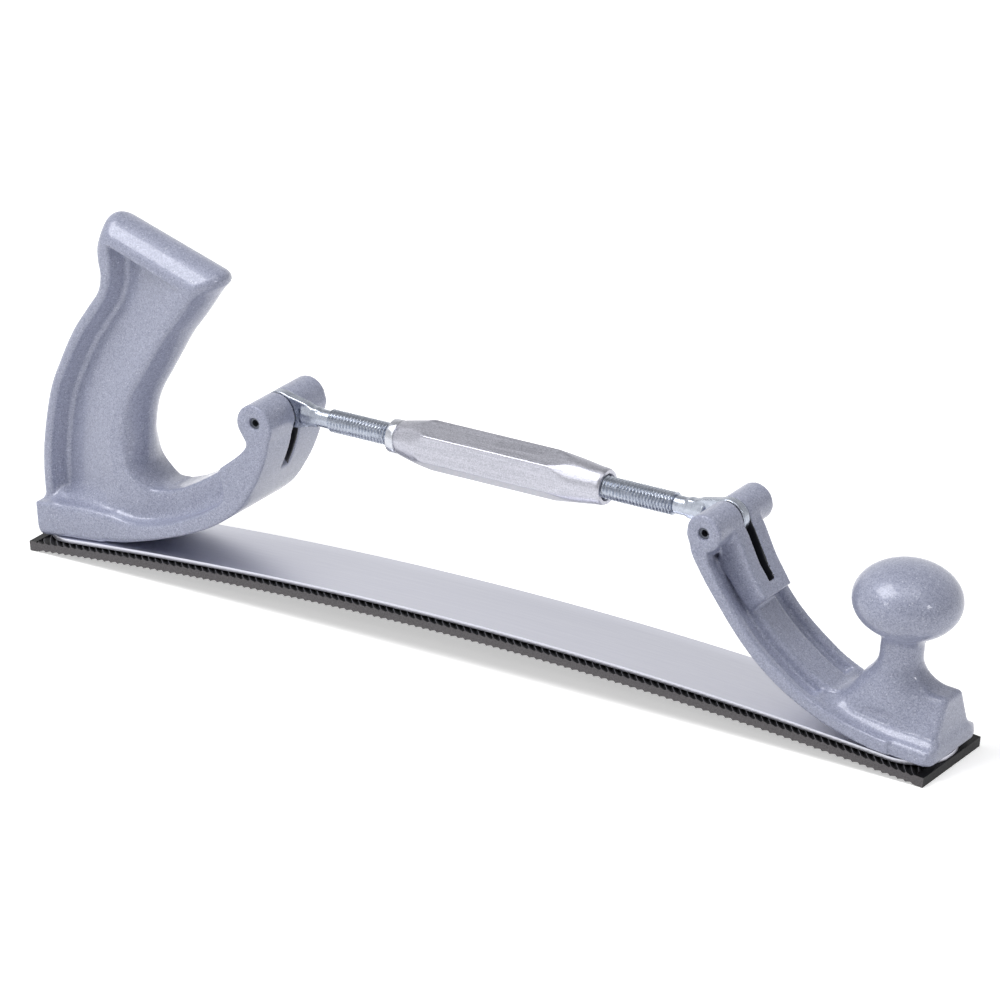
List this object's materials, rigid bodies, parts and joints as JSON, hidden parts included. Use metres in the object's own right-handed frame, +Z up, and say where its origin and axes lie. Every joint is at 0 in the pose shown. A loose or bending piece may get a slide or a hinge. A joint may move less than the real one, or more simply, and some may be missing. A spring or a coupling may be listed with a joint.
{
  "type": "body file",
  "caption": "Flexible body file holder: arched file blade and spring strap under a pistol grip and a knob, bent by a turnbuckle between the handles.",
  "frame": {"origin": "middle of the bounding box, on the surface that the two blade ends stand on", "axes": "+X along the blade from the rear grip to the front knob, +Y across the blade, +Z up"},
  "size_m": [0.3517, 0.037, 0.1222],
  "materials": {
    "painted_casting": "silver-grey metallic paint over die-cast aluminium, semi-gloss",
    "turned_aluminium": "satin, machined",
    "zinc_steel": "bright zinc plate",
    "strap_steel": "satin",
    "file_steel": "dark hardened steel, oiled"
  },
  "bodies": {
    "rear_half": {"rear_handle": "painted_casting", "rear_hinge_pin": "zinc_steel", "rear_blade_screw": "zinc_steel", "file_rear_end": "file_steel", "strap_rear_end": "strap_steel"},
    "blade_link_1": {"file_link_1": "file_steel", "strap_link_1": "strap_steel"},
    "blade_link_2": {"file_link_2": "file_steel", "strap_link_2": "strap_steel"},
    "blade_link_3": {"file_link_3": "file_steel", "strap_link_3": "strap_steel"},
    "front_half": {"front_handle": "painted_casting", "front_hinge_pin": "zinc_steel", "front_blade_screw": "zinc_steel", "file_front_end": "file_steel", "strap_front_end": "strap_steel"},
    "rear_eye": {"rear_eyebolt": "zinc_steel"},
    "front_eye": {"front_eyebolt": "zinc_steel"},
    "bush": {"left_hand_bush": "zinc_steel"},
    "turnbuckle": {"turnbuckle_body": "turned_aluminium"}
  },
  "joints": [
    {"name": "blade_flex_1", "type": "hinge", "parent": "rear_half", "child": "blade_link_1", "pos_m": [-0.10856, 0, 0.00833], "axis": [0, 1, 0], "range_deg": [-5.5, 0.75]},
    {"name": "blade_flex_2", "type": "hinge", "parent": "blade_link_1", "child": "blade_link_2", "pos_m": [-0.03653, 0, 0.0115], "axis": [0, 1, 0], "range_deg": [-5.5, 0.75]},
    {"name": "blade_flex_3", "type": "hinge", "parent": "blade_link_2", "child": "blade_link_3", "pos_m": [0.03558, 0, 0.0115], "axis": [0, 1, 0], "range_deg": [-5.5, 0.75]},
    {"name": "blade_flex_4", "type": "hinge", "parent": "blade_link_3", "child": "front_half", "pos_m": [0.10761, 0, 0.00833], "axis": [0, 1, 0], "range_deg": [-5.5, 0.75]},
    {"name": "rear_eyebolt_swing", "type": "hinge", "parent": "rear_half", "child": "rear_eye", "pos_m": [-0.08219, 0, 0.06652], "axis": [0, 1, 0], "range_deg": [-11.8, 1.65]},
    {"name": "front_eyebolt_swing", "type": "hinge", "parent": "front_half", "child": "front_eye", "pos_m": [0.09194, 0, 0.06711], "axis": [0, 1, 0], "range_deg": [-1.45, 10.3]},
    {"name": "bush_travel", "type": "slide", "parent": "rear_eye", "child": "bush", "axis": [1, 0, 0.0034], "range_m": [-0.0109, 0.0015]},
    {"name": "turnbuckle_turn", "type": "hinge", "parent": "bush", "child": "turnbuckle", "pos_m": [-0.08219, 0, 0.06652], "axis": [1, 0, 0.0034], "range_deg": [-426, 3120]}
  ],
  "couplings": [
    {"joint": "blade_flex_2", "follows": "blade_flex_1", "ratio": 1},
    {"joint": "blade_flex_3", "follows": "blade_flex_1", "ratio": 1},
    {"joint": "blade_flex_4", "follows": "blade_flex_1", "ratio": 1},
    {"joint": "rear_eyebolt_swing", "follows": "blade_flex_1", "ratio": 2.1396},
    {"joint": "front_eyebolt_swing", "follows": "blade_flex_1", "ratio": -1.8604},
    {"joint": "bush_travel", "follows": "blade_flex_1", "m_per_rad": 0.11284},
    {"joint": "turnbuckle_turn", "follows": "blade_flex_1", "ratio": -567.18}
  ]
}
